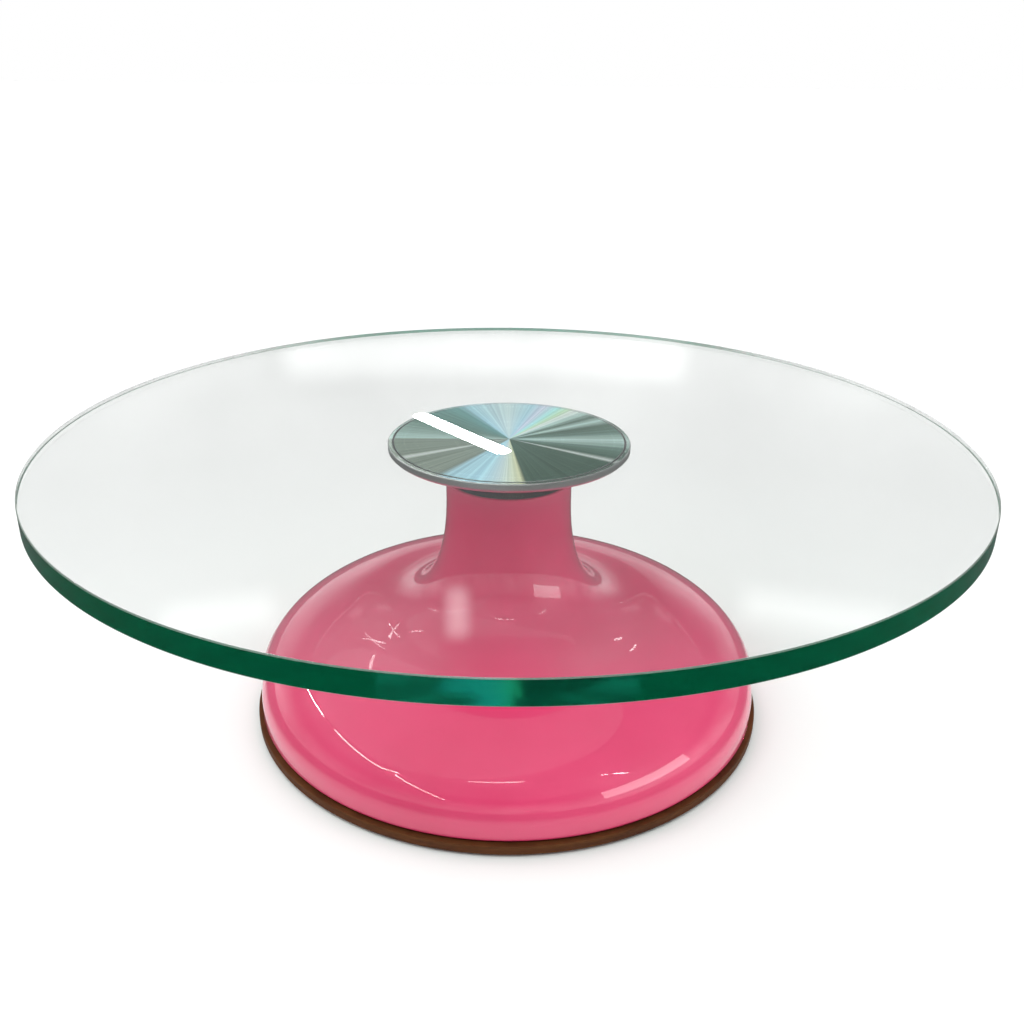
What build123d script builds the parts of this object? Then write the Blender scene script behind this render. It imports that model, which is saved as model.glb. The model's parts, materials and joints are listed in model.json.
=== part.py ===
from build123d import *

import os

# Cake turntable: a round glass plate bonded to a turned disc, whose spindle runs in two ball
# bearings inside a spun pedestal. Millimetres, +Z up. The origin is on the spindle's axis, at
# the surface that the turntable stands on.

# Base
FOOT_RADIUS = 9.0
FOOT_THICKNESS = 1.0
FOOT_EDGE_BREAK = 0.25
FOOT_CIRCLE_RADIUS = 100.0
FOOT_COUNT = 4
FOOT_START_ANGLE = 45.0
BOARD_RADIUS = 118.5
BOARD_THICKNESS = 4.0
BOARD_EDGE_BREAK = 0.5
RIM_ADHESIVE_THICKNESS = 0.3
RIM_ADHESIVE_INNER_RADIUS = 107.0
RIM_ADHESIVE_OUTER_RADIUS = 113.5

# Pedestal shell
SHELL_WALL = 1.6
SHELL_RADIUS = 116.6
SHELL_FLANGE_INNER_RADIUS = 105.0
SHELL_HEM_RADIUS = 1.8
SHELL_RIM_HEIGHT = 6.9  # from the board's top to where the dome starts
DOME_WIDTH = 61.9  # the dome's horizontal semi-axis
DOME_HEIGHT = 33.4  # the dome's vertical semi-axis
DOME_SWEEP = 72.7  # degrees of the ellipse that the dome uses
FLARE_DOME_PULL = 14.8  # how far the flare carries on along the dome
FLARE_NECK_PULL = 57.8  # how far it comes down straight from the neck
NECK_RADIUS = 28.2
NECK_LENGTH = 8.9  # the straight part
PEDESTAL_HEIGHT = 101.1  # from the board's top to the neck's top
NECK_EDGE_ROUNDING = 0.6

# Plate
GLASS_RADIUS = 200.0
GLASS_THICKNESS = 9.2
GLASS_ARRIS = 0.4
TOTAL_HEIGHT = 132.7
BOND_THICKNESS = 0.2
BOND_RADIUS = 50.6
DISC_RADIUS = 53.5
DISC_THICKNESS = 4.0
DISC_TOP_CHAMFER = 0.4
DISC_BOTTOM_BEVEL = 1.3
DISC_GROOVE_RADIUS = 51.2
DISC_GROOVE_WIDTH = 0.9
DISC_GROOVE_DEPTH = 0.6
BOSS_RADIUS = 15.0
BOSS_LENGTH = 19.3
BOSS_FILLET = 4.0

# Spindle and its fasteners
SPINDLE_RADIUS = 10.0
COLLAR_RADIUS = 13.0
COLLAR_LENGTH = 6.0
STUD_RADIUS = 8.0
STUD_LENGTH = 14.5
STUD_HOLE_DEPTH = 16.0
SPINDLE_CLAMP_GAP = 0.3  # how far the spindle stops short of the retaining washer
WASHER_THICKNESS = 2.5
WASHER_HOLE_RADIUS = 4.3
LOCK_WASHER_THICKNESS = 2.0
LOCK_WASHER_RADIUS = 6.4
LOCK_WASHER_SLOT = 1.5
BOLT_RADIUS = 4.0
BOLT_LENGTH = 25.0
BOLT_HEAD_RADIUS = 6.5
BOLT_HEAD_HEIGHT = 8.0
BOLT_SOCKET_FLATS = 6.0
BOLT_SOCKET_DEPTH = 4.0
BOLT_HOLE_DEPTH = 24.0

# Ball bearings, 20 x 42 x 12
BEARING_BORE_RADIUS = 10.0
BEARING_OUTER_RADIUS = 21.0
BEARING_WIDTH = 12.0
INNER_SHOULDER_RADIUS = 13.5
OUTER_SHOULDER_RADIUS = 17.5
BALL_RADIUS = 3.175
BALL_COUNT = 9
BALL_CIRCLE_RADIUS = 15.5
GROOVE_RADIUS = 3.25
RACE_CHAMFER = 0.6
SEAL_THICKNESS = 0.8
SEAL_INSET = 0.3
SEAL_LIP_GAP = 0.2
CAGE_INNER_RADIUS = 14.4
CAGE_OUTER_RADIUS = 16.6
CAGE_BELOW = 4.5
CAGE_ABOVE = 2.2
POCKET_RADIUS = 3.3
BEARING_SPACING = 32.0  # between the two bearings' facing sides
SLEEVE_WALL = 2.5

# Bearing housing and what closes it
HOUSING_RADIUS = 24.5
HOUSING_FLANGE_RADIUS = 42.0
HOUSING_FLANGE_THICKNESS = 8.0
HOUSING_FLANGE_FILLET = 4.0
HOUSING_LOWER_BORE_RADIUS = 17.0
HOUSING_SHOULDER_HEIGHT = 33.0  # from the board's top to the lower bearing's seat
HOUSING_LENGTH = 97.0
HOUSING_CHAMFER = 0.6
CIRCLIP_THICKNESS = 1.75
CIRCLIP_OUTER_RADIUS = 22.2
CIRCLIP_INNER_RADIUS = 18.6
CIRCLIP_GAP_HALF_ANGLE = 14.0
CIRCLIP_LUG_RADIUS = 2.3
CIRCLIP_LUG_HOLE_RADIUS = 1.25
CIRCLIP_GROOVE_PLAY = 0.1
DUST_COVER_RADIUS = 25.8
DUST_COVER_THICKNESS = 2.4
DUST_COVER_SPIGOT_RADIUS = 21.0
DUST_COVER_SPIGOT_LENGTH = 4.0
DUST_COVER_BORE_RADIUS = 15.4
CENTRING_RING_HEIGHT = 5.0
CENTRING_RING_DROP = 1.0  # below the housing's top
SCREW_COUNT = 4
SCREW_CIRCLE_RADIUS = 34.0
SCREW_RADIUS = 2.5
SCREW_CLEARANCE_RADIUS = 2.75
SCREW_HEAD_RADIUS = 5.0
SCREW_LENGTH = 11.0
COUNTERSINK_ANGLE = 90.0
SCREW_SOCKET_FLATS = 3.0
SCREW_SOCKET_DEPTH = 1.8
PLUG_FLANGE_RADIUS = 19.0
PLUG_FLANGE_THICKNESS = 0.8
PLUG_WALL = 1.5
PLUG_LENGTH = 7.0

# Levels
board_bottom = FOOT_THICKNESS
board_top = board_bottom + BOARD_THICKNESS
shell_bottom = board_top + RIM_ADHESIVE_THICKNESS
dome_base = board_top + SHELL_RIM_HEIGHT
neck_top = board_top + PEDESTAL_HEIGHT
neck_base = neck_top - NECK_LENGTH
glass_bottom = TOTAL_HEIGHT - GLASS_THICKNESS
disc_top = glass_bottom - BOND_THICKNESS
disc_bottom = disc_top - DISC_THICKNESS
boss_bottom = disc_bottom - BOSS_LENGTH
flange_top = board_top + HOUSING_FLANGE_THICKNESS
housing_top = board_top + HOUSING_LENGTH
lower_bearing_bottom = board_top + HOUSING_SHOULDER_HEIGHT
lower_bearing_top = lower_bearing_bottom + BEARING_WIDTH
upper_bearing_bottom = lower_bearing_top + BEARING_SPACING
upper_bearing_top = upper_bearing_bottom + BEARING_WIDTH
spindle_bottom = lower_bearing_bottom + SPINDLE_CLAMP_GAP
washer_bottom = lower_bearing_bottom - WASHER_THICKNESS
lock_washer_bottom = washer_bottom - LOCK_WASHER_THICKNESS
bolt_head_bottom = lock_washer_bottom - BOLT_HEAD_HEIGHT

underside = Plane(origin=(0, 0, board_bottom), z_dir=(0, 0, -1))
FROM_BELOW = (Align.CENTER, Align.CENTER, Align.MIN)

os.makedirs("parts", exist_ok=True)


# --- Base ---------------------------------------------------------------------------------------

with BuildPart() as anti_slip_feet:
    with BuildSketch():
        with PolarLocations(FOOT_CIRCLE_RADIUS, FOOT_COUNT, start_angle=FOOT_START_ANGLE):
            Circle(FOOT_RADIUS)
    extrude(amount=FOOT_THICKNESS)
    sole_edges = anti_slip_feet.faces().sort_by(Axis.Z)[:FOOT_COUNT].edges()
    chamfer(sole_edges, length=FOOT_EDGE_BREAK)
anti_slip_feet.part.label = "anti_slip_feet"
export_step(anti_slip_feet.part, "parts/anti_slip_feet.step")

with BuildPart() as base_board:
    with BuildSketch(Plane.XY.offset(board_bottom)):
        Circle(BOARD_RADIUS)
        Circle(HOUSING_LOWER_BORE_RADIUS, mode=Mode.SUBTRACT)
    extrude(amount=BOARD_THICKNESS)
    rim_edges = base_board.edges().filter_by(GeomType.CIRCLE).sort_by(SortBy.RADIUS)[-2:]
    fillet(rim_edges, radius=BOARD_EDGE_BREAK)
    with Locations(underside):
        with PolarLocations(SCREW_CIRCLE_RADIUS, SCREW_COUNT):
            CounterSinkHole(
                SCREW_CLEARANCE_RADIUS, SCREW_HEAD_RADIUS, counter_sink_angle=COUNTERSINK_ANGLE
            )
base_board.part.label = "base_board"
export_step(base_board.part, "parts/base_board.step")

with BuildPart() as rim_adhesive:
    with BuildSketch(Plane.XY.offset(board_top)):
        Circle(RIM_ADHESIVE_OUTER_RADIUS)
        Circle(RIM_ADHESIVE_INNER_RADIUS, mode=Mode.SUBTRACT)
    extrude(amount=RIM_ADHESIVE_THICKNESS)
rim_adhesive.part.label = "rim_adhesive"
export_step(rim_adhesive.part, "parts/rim_adhesive.step")

# The plug closes the hole through which the retaining bolt is reached.
with BuildPart() as access_plug:
    with BuildSketch(underside):
        Circle(PLUG_FLANGE_RADIUS)
    extrude(amount=PLUG_FLANGE_THICKNESS)
    chamfer(access_plug.faces().sort_by(Axis.Z)[0].edges(), length=PLUG_FLANGE_THICKNESS / 2)
    with BuildSketch(Plane.XY.offset(board_bottom)):
        Circle(HOUSING_LOWER_BORE_RADIUS)
        Circle(HOUSING_LOWER_BORE_RADIUS - PLUG_WALL, mode=Mode.SUBTRACT)
    extrude(amount=PLUG_LENGTH)
access_plug.part.label = "access_plug"
export_step(access_plug.part, "parts/access_plug.step")


# --- Pedestal shell -----------------------------------------------------------------------------


def shell_side(inset):
    """Draws the shell's side in the current BuildLine, from its foot to its neck's top, this far
    inside the outer skin, and returns its two ends."""
    radius = SHELL_RADIUS - inset
    hem_radius = SHELL_HEM_RADIUS - inset
    hem = CenterArc((radius - hem_radius, shell_bottom + SHELL_HEM_RADIUS), hem_radius, 270, 90)
    Line(hem @ 1, (radius, dome_base))
    dome = EllipticalCenterArc(
        (SHELL_RADIUS - DOME_WIDTH, dome_base),
        DOME_WIDTH - inset,
        DOME_HEIGHT - inset,
        start_angle=0,
        arc_size=DOME_SWEEP,
    )
    neck_radius = NECK_RADIUS - inset
    Bezier(
        dome @ 1,
        dome @ 1 + (dome % 1) * FLARE_DOME_PULL,
        (neck_radius, neck_base - FLARE_NECK_PULL),
        (neck_radius, neck_base),
    )
    neck = Line((neck_radius, neck_base), (neck_radius, neck_top))
    return hem @ 0, neck @ 1


with BuildPart() as pedestal_shell:
    with BuildSketch(Plane.XZ):
        with BuildLine():
            outer_foot, outer_lip = shell_side(0)
            inner_foot, inner_lip = shell_side(SHELL_WALL)
            Line(outer_lip, inner_lip)
            Polyline(
                outer_foot,
                (SHELL_FLANGE_INNER_RADIUS, outer_foot.Y),
                (SHELL_FLANGE_INNER_RADIUS, inner_foot.Y),
                inner_foot,
            )
        make_face()
    revolve(axis=Axis.Z)
    lip_edges = pedestal_shell.edges().filter_by(GeomType.CIRCLE).sort_by(Axis.Z)[-2:]
    fillet(lip_edges, radius=NECK_EDGE_ROUNDING)
pedestal_shell.part.label = "pedestal_shell"
export_step(pedestal_shell.part, "parts/pedestal_shell.step")


# --- Bearing housing ----------------------------------------------------------------------------

with BuildPart() as bearing_housing:
    with BuildSketch(Plane.XY.offset(board_top)):
        Circle(HOUSING_FLANGE_RADIUS)
    extrude(amount=HOUSING_FLANGE_THICKNESS)
    with BuildSketch(Plane.XY.offset(flange_top)):
        Circle(HOUSING_RADIUS)
    extrude(amount=HOUSING_LENGTH - HOUSING_FLANGE_THICKNESS)
    root_edge = (
        bearing_housing.edges()
        .filter_by(GeomType.CIRCLE)
        .filter_by(lambda edge: abs(edge.radius - HOUSING_RADIUS) < HOUSING_CHAMFER)
        .sort_by(Axis.Z)[0]
    )
    fillet(root_edge, radius=HOUSING_FLANGE_FILLET)
    with BuildSketch(Plane.XY.offset(board_top)):
        Circle(HOUSING_LOWER_BORE_RADIUS)
    extrude(amount=HOUSING_LENGTH, mode=Mode.SUBTRACT)
    with BuildSketch(Plane.XY.offset(lower_bearing_bottom)):
        Circle(BEARING_OUTER_RADIUS)
    extrude(amount=HOUSING_LENGTH, mode=Mode.SUBTRACT)
    with BuildSketch(Plane.XY.offset(upper_bearing_top)):
        Circle(CIRCLIP_OUTER_RADIUS + CIRCLIP_GROOVE_PLAY)
    extrude(amount=CIRCLIP_THICKNESS + CIRCLIP_GROOVE_PLAY, mode=Mode.SUBTRACT)
    with BuildSketch(Plane.XY.offset(board_top)):
        with PolarLocations(SCREW_CIRCLE_RADIUS, SCREW_COUNT):
            Circle(SCREW_RADIUS)
    extrude(amount=HOUSING_FLANGE_THICKNESS, mode=Mode.SUBTRACT)
    top_edges = bearing_housing.faces().sort_by(Axis.Z)[-1].edges()
    chamfer(top_edges, length=HOUSING_CHAMFER)
bearing_housing.part.label = "bearing_housing"
export_step(bearing_housing.part, "parts/bearing_housing.step")

with BuildPart() as housing_screws:
    with Locations((0, 0, board_bottom)):
        with PolarLocations(SCREW_CIRCLE_RADIUS, SCREW_COUNT):
            Cone(
                SCREW_HEAD_RADIUS, SCREW_RADIUS, SCREW_HEAD_RADIUS - SCREW_RADIUS, align=FROM_BELOW
            )
            Cylinder(SCREW_RADIUS, SCREW_LENGTH, align=FROM_BELOW)
    with BuildSketch(Plane.XY.offset(board_bottom)):
        with PolarLocations(SCREW_CIRCLE_RADIUS, SCREW_COUNT):
            RegularPolygon(SCREW_SOCKET_FLATS / 2, 6, major_radius=False)
    extrude(amount=SCREW_SOCKET_DEPTH, mode=Mode.SUBTRACT)
housing_screws.part.label = "housing_screws"
export_step(housing_screws.part, "parts/housing_screws.step")

with BuildPart() as neck_centring_ring:
    with BuildSketch(Plane.XY.offset(housing_top - CENTRING_RING_DROP)):
        Circle(NECK_RADIUS - SHELL_WALL)
        Circle(HOUSING_RADIUS, mode=Mode.SUBTRACT)
    extrude(amount=-CENTRING_RING_HEIGHT)
neck_centring_ring.part.label = "neck_centring_ring"
export_step(neck_centring_ring.part, "parts/neck_centring_ring.step")

# An internal circlip: a ring with a gap, and a lug with a plier hole at each end of it.
with BuildPart() as bearing_retaining_ring:
    with BuildSketch(Plane.XY.offset(upper_bearing_top)):
        Circle(CIRCLIP_OUTER_RADIUS)
        Circle(CIRCLIP_INNER_RADIUS, mode=Mode.SUBTRACT)
        with BuildLine():
            gap_start = PolarLine((0, 0), CIRCLIP_OUTER_RADIUS * 2, -CIRCLIP_GAP_HALF_ANGLE)
            gap_end = PolarLine((0, 0), CIRCLIP_OUTER_RADIUS * 2, CIRCLIP_GAP_HALF_ANGLE)
            Line(gap_start @ 1, gap_end @ 1)
        make_face(mode=Mode.SUBTRACT)
        for side in (-1, 1):
            lug_angle = side * (CIRCLIP_GAP_HALF_ANGLE + CIRCLIP_LUG_RADIUS)
            with PolarLocations(CIRCLIP_INNER_RADIUS, 1, start_angle=lug_angle):
                Circle(CIRCLIP_LUG_RADIUS)
                Circle(CIRCLIP_LUG_HOLE_RADIUS, mode=Mode.SUBTRACT)
    extrude(amount=CIRCLIP_THICKNESS)
bearing_retaining_ring.part.label = "bearing_retaining_ring"
export_step(bearing_retaining_ring.part, "parts/bearing_retaining_ring.step")

with BuildPart() as dust_cover:
    with BuildSketch(Plane.XY.offset(housing_top)):
        Circle(DUST_COVER_RADIUS)
    extrude(amount=DUST_COVER_THICKNESS)
    chamfer(dust_cover.faces().sort_by(Axis.Z)[-1].edges(), length=DUST_COVER_THICKNESS / 4)
    with BuildSketch(Plane.XY.offset(housing_top)):
        Circle(DUST_COVER_SPIGOT_RADIUS)
    extrude(amount=-DUST_COVER_SPIGOT_LENGTH)
    with BuildSketch(Plane.XY.offset(housing_top + DUST_COVER_THICKNESS)):
        Circle(DUST_COVER_BORE_RADIUS)
    extrude(amount=-DUST_COVER_THICKNESS - DUST_COVER_SPIGOT_LENGTH, mode=Mode.SUBTRACT)
dust_cover.part.label = "dust_cover"
export_step(dust_cover.part, "parts/dust_cover.step")


# --- Ball bearings ------------------------------------------------------------------------------

bearing_bottoms = {"lower": lower_bearing_bottom, "upper": upper_bearing_bottom}

for position, bearing_bottom in bearing_bottoms.items():
    ball_level = bearing_bottom + BEARING_WIDTH / 2

    with BuildPart() as outer_race:
        with BuildSketch(Plane.XY.offset(bearing_bottom)):
            Circle(BEARING_OUTER_RADIUS)
            Circle(OUTER_SHOULDER_RADIUS, mode=Mode.SUBTRACT)
        extrude(amount=BEARING_WIDTH)
        outer_edges = outer_race.edges().filter_by(GeomType.CIRCLE).sort_by(SortBy.RADIUS)[-2:]
        chamfer(outer_edges, length=RACE_CHAMFER)
        with BuildSketch(Plane.XZ):
            with Locations((BALL_CIRCLE_RADIUS, ball_level)):
                Circle(GROOVE_RADIUS)
        revolve(axis=Axis.Z, mode=Mode.SUBTRACT)
    outer_race.part.label = f"{position}_bearing_outer_race"
    export_step(outer_race.part, f"parts/{outer_race.part.label}.step")

    with BuildPart() as inner_race:
        with BuildSketch(Plane.XY.offset(bearing_bottom)):
            Circle(INNER_SHOULDER_RADIUS)
            Circle(BEARING_BORE_RADIUS, mode=Mode.SUBTRACT)
        extrude(amount=BEARING_WIDTH)
        bore_edges = inner_race.edges().filter_by(GeomType.CIRCLE).sort_by(SortBy.RADIUS)[:2]
        chamfer(bore_edges, length=RACE_CHAMFER)
        with BuildSketch(Plane.XZ):
            with Locations((BALL_CIRCLE_RADIUS, ball_level)):
                Circle(GROOVE_RADIUS)
        revolve(axis=Axis.Z, mode=Mode.SUBTRACT)
    inner_race.part.label = f"{position}_bearing_inner_race"
    export_step(inner_race.part, f"parts/{inner_race.part.label}.step")

    with BuildPart() as balls:
        with Locations((0, 0, ball_level)):
            with PolarLocations(BALL_CIRCLE_RADIUS, BALL_COUNT):
                Sphere(BALL_RADIUS)
    balls.part.label = f"{position}_bearing_balls"
    export_step(balls.part, f"parts/{balls.part.label}.step")

    # A ring with a pocket round each ball, open at the top so that the balls snap in.
    with BuildPart() as cage:
        with BuildSketch(Plane.XY.offset(ball_level - CAGE_BELOW)):
            Circle(CAGE_OUTER_RADIUS)
            Circle(CAGE_INNER_RADIUS, mode=Mode.SUBTRACT)
        extrude(amount=CAGE_BELOW + CAGE_ABOVE)
        with Locations((0, 0, ball_level)):
            with PolarLocations(BALL_CIRCLE_RADIUS, BALL_COUNT):
                Sphere(POCKET_RADIUS, mode=Mode.SUBTRACT)
    cage.part.label = f"{position}_bearing_cage"
    export_step(cage.part, f"parts/{cage.part.label}.step")

    # Both seals sit in the outer race, with their lips just clear of the inner race.
    with BuildPart() as seals:
        for seal_bottom in (
            bearing_bottom + SEAL_INSET,
            bearing_bottom + BEARING_WIDTH - SEAL_INSET - SEAL_THICKNESS,
        ):
            with BuildSketch(Plane.XY.offset(seal_bottom)):
                Circle(OUTER_SHOULDER_RADIUS)
                Circle(INNER_SHOULDER_RADIUS + SEAL_LIP_GAP, mode=Mode.SUBTRACT)
            extrude(amount=SEAL_THICKNESS)
    seals.part.label = f"{position}_bearing_seals"
    export_step(seals.part, f"parts/{seals.part.label}.step")

with BuildPart() as outer_spacer_sleeve:
    with BuildSketch(Plane.XY.offset(lower_bearing_top)):
        Circle(BEARING_OUTER_RADIUS)
        Circle(BEARING_OUTER_RADIUS - SLEEVE_WALL, mode=Mode.SUBTRACT)
    extrude(amount=BEARING_SPACING)
outer_spacer_sleeve.part.label = "outer_spacer_sleeve"
export_step(outer_spacer_sleeve.part, "parts/outer_spacer_sleeve.step")

with BuildPart() as inner_spacer_sleeve:
    with BuildSketch(Plane.XY.offset(lower_bearing_top)):
        Circle(SPINDLE_RADIUS + SLEEVE_WALL)
        Circle(SPINDLE_RADIUS, mode=Mode.SUBTRACT)
    extrude(amount=BEARING_SPACING)
inner_spacer_sleeve.part.label = "inner_spacer_sleeve"
export_step(inner_spacer_sleeve.part, "parts/inner_spacer_sleeve.step")


# --- Spindle ------------------------------------------------------------------------------------

with BuildPart() as spindle:
    with BuildSketch(Plane.XY.offset(spindle_bottom)):
        Circle(SPINDLE_RADIUS)
    extrude(amount=upper_bearing_top - spindle_bottom)
    chamfer(spindle.faces().sort_by(Axis.Z)[0].edges(), length=RACE_CHAMFER)
    with BuildSketch(Plane.XY.offset(upper_bearing_top)):
        Circle(COLLAR_RADIUS)
    extrude(amount=COLLAR_LENGTH)
    with BuildSketch(Plane.XY.offset(boss_bottom)):
        Circle(STUD_RADIUS)
    extrude(amount=STUD_LENGTH)
    chamfer(spindle.faces().sort_by(Axis.Z)[-1].edges(), length=RACE_CHAMFER)
    with BuildSketch(Plane.XY.offset(spindle_bottom)):
        Circle(BOLT_RADIUS)
    extrude(amount=BOLT_HOLE_DEPTH, mode=Mode.SUBTRACT)
spindle.part.label = "spindle"
export_step(spindle.part, "parts/spindle.step")

with BuildPart() as retaining_washer:
    with BuildSketch(Plane.XY.offset(washer_bottom)):
        Circle(COLLAR_RADIUS)
        Circle(WASHER_HOLE_RADIUS, mode=Mode.SUBTRACT)
    extrude(amount=WASHER_THICKNESS)
retaining_washer.part.label = "retaining_washer"
export_step(retaining_washer.part, "parts/retaining_washer.step")

with BuildPart() as lock_washer:
    with BuildSketch(Plane.XY.offset(lock_washer_bottom)):
        Circle(LOCK_WASHER_RADIUS)
        Circle(WASHER_HOLE_RADIUS, mode=Mode.SUBTRACT)
        with Locations((LOCK_WASHER_RADIUS, 0)):
            Rectangle(LOCK_WASHER_RADIUS, LOCK_WASHER_SLOT, mode=Mode.SUBTRACT)
    extrude(amount=LOCK_WASHER_THICKNESS)
lock_washer.part.label = "lock_washer"
export_step(lock_washer.part, "parts/lock_washer.step")

with BuildPart() as retaining_bolt:
    with BuildSketch(Plane.XY.offset(bolt_head_bottom)):
        Circle(BOLT_HEAD_RADIUS)
        RegularPolygon(BOLT_SOCKET_FLATS / 2, 6, major_radius=False, mode=Mode.SUBTRACT)
    extrude(amount=BOLT_SOCKET_DEPTH)
    with BuildSketch(Plane.XY.offset(bolt_head_bottom + BOLT_SOCKET_DEPTH)):
        Circle(BOLT_HEAD_RADIUS)
    extrude(amount=BOLT_HEAD_HEIGHT - BOLT_SOCKET_DEPTH)
    with BuildSketch(Plane.XY.offset(lock_washer_bottom)):
        Circle(BOLT_RADIUS)
    extrude(amount=BOLT_LENGTH)
    chamfer(retaining_bolt.faces().sort_by(Axis.Z)[-1].edges(), length=RACE_CHAMFER)
retaining_bolt.part.label = "retaining_bolt"
export_step(retaining_bolt.part, "parts/retaining_bolt.step")


# --- Mounting disc and glass --------------------------------------------------------------------

with BuildPart() as mounting_disc:
    with BuildSketch(Plane.XY.offset(disc_bottom)):
        Circle(DISC_RADIUS)
    extrude(amount=DISC_THICKNESS)
    chamfer(mounting_disc.faces().sort_by(Axis.Z)[-1].edges(), length=DISC_TOP_CHAMFER)
    chamfer(mounting_disc.faces().sort_by(Axis.Z)[0].edges(), length=DISC_BOTTOM_BEVEL)
    with BuildSketch(Plane.XY.offset(boss_bottom)):
        Circle(BOSS_RADIUS)
    extrude(amount=BOSS_LENGTH)
    boss_root = (
        mounting_disc.edges()
        .filter_by(GeomType.CIRCLE)
        .filter_by(lambda edge: abs(edge.radius - BOSS_RADIUS) < DISC_TOP_CHAMFER)
        .sort_by(Axis.Z)[-1]
    )
    fillet(boss_root, radius=BOSS_FILLET)
    with BuildSketch(Plane.XY.offset(boss_bottom)):
        Circle(STUD_RADIUS)
    extrude(amount=STUD_HOLE_DEPTH, mode=Mode.SUBTRACT)
    with BuildSketch(Plane.XY.offset(disc_top)):
        Circle(DISC_GROOVE_RADIUS + DISC_GROOVE_WIDTH / 2)
        Circle(DISC_GROOVE_RADIUS - DISC_GROOVE_WIDTH / 2, mode=Mode.SUBTRACT)
    extrude(amount=-DISC_GROOVE_DEPTH, mode=Mode.SUBTRACT)
mounting_disc.part.label = "mounting_disc"
export_step(mounting_disc.part, "parts/mounting_disc.step")

with BuildPart() as bonding_film:
    with BuildSketch(Plane.XY.offset(disc_top)):
        Circle(BOND_RADIUS)
    extrude(amount=BOND_THICKNESS)
bonding_film.part.label = "bonding_film"
export_step(bonding_film.part, "parts/bonding_film.step")

with BuildPart() as glass_plate:
    with BuildSketch(Plane.XY.offset(glass_bottom)):
        Circle(GLASS_RADIUS)
    extrude(amount=GLASS_THICKNESS)
    chamfer(glass_plate.edges().filter_by(GeomType.CIRCLE), length=GLASS_ARRIS)
glass_plate.part.label = "glass_plate"
export_step(glass_plate.part, "parts/glass_plate.step")
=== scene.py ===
import json
import math

import bpy
from mathutils import Matrix, Vector


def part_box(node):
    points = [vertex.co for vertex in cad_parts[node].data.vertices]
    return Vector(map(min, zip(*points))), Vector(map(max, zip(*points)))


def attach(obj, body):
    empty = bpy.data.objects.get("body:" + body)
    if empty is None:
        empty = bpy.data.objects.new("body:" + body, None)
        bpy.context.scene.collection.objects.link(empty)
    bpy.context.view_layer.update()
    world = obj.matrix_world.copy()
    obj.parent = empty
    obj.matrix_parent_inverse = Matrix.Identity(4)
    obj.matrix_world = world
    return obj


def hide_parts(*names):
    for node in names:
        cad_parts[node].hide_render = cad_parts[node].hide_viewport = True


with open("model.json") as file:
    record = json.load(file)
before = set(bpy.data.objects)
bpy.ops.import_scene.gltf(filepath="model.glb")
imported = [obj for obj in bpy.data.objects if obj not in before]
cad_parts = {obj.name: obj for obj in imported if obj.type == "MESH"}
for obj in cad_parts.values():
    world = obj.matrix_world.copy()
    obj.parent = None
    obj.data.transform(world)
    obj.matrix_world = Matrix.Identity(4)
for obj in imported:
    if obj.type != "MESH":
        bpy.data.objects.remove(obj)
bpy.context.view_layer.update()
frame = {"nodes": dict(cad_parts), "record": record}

# Metres throughout. Places and overall sizes are read from the frame.
MM = 0.001
SEGMENTS = 288  # round the axis
CURVE_STEPS = 72  # along the dome, and again along the flare
ARC_STEPS = 8  # in the shell's hem and lip, and in a lamp's end
ON_AXIS = 1e-7  # an outline point with a smaller radius is one point on the axis
SHARP_ANGLE = math.radians(28)  # faces that meet more sharply than this have an edge between them

# The pedestal's outline, as the CAD shell has it
SHELL_WALL = 1.6 * MM
SHELL_HEM = 1.8 * MM
SHELL_FOOT_RADIUS = 105 * MM
SHELL_RIM_HEIGHT = 6.6 * MM  # from the shell's foot to where the dome starts
DOME_WIDTH = 61.9 * MM
DOME_HEIGHT = 33.4 * MM
DOME_SWEEP = math.radians(72.7)
FLARE_DOME_PULL = 14.8 * MM
FLARE_NECK_PULL = 57.8 * MM
NECK_RADIUS = 28.2 * MM
NECK_LENGTH = 8.9 * MM

# Board
BOARD_BORE = 17 * MM
BOARD_EDGE_BREAK = 0.5 * MM

# Plate, with the clear bond under it
ARRIS = 0.4 * MM
ARRIS_ROUNDING = 0.12 * MM
BOND_RADIUS = 50.6 * MM
BOND_OVERLAP = 0.02 * MM  # how far the clear bond is let into the disc, so that no air shows

# Disc, with its boss and the hole for the spindle's stud
DISC_THICKNESS = 4 * MM
DISC_TOP_EDGE = 0.4 * MM
DISC_BEVEL = 1.3 * MM
DISC_SIDE_ROUNDING = 0.2 * MM
DISC_FACE_ROUNDING = 0.1 * MM
DISC_FACE_DEPTH = 0.01 * MM  # what lies deeper than this under the top isn't the turned face
DISC_GROOVE_RADIUS = 51.2 * MM
DISC_GROOVE_WIDTH = 0.9 * MM
DISC_GROOVE_DEPTH = 0.6 * MM
DISC_GROOVE_ROUNDING = 0.15 * MM
BOSS_RADIUS = 15 * MM
BOSS_FILLET = 4 * MM
BOSS_END_ROUNDING = 0.3 * MM
STUD_RADIUS = 8 * MM
STUD_HOLE_DEPTH = 16 * MM


# --- Meshes -------------------------------------------------------------------------------------


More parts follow.
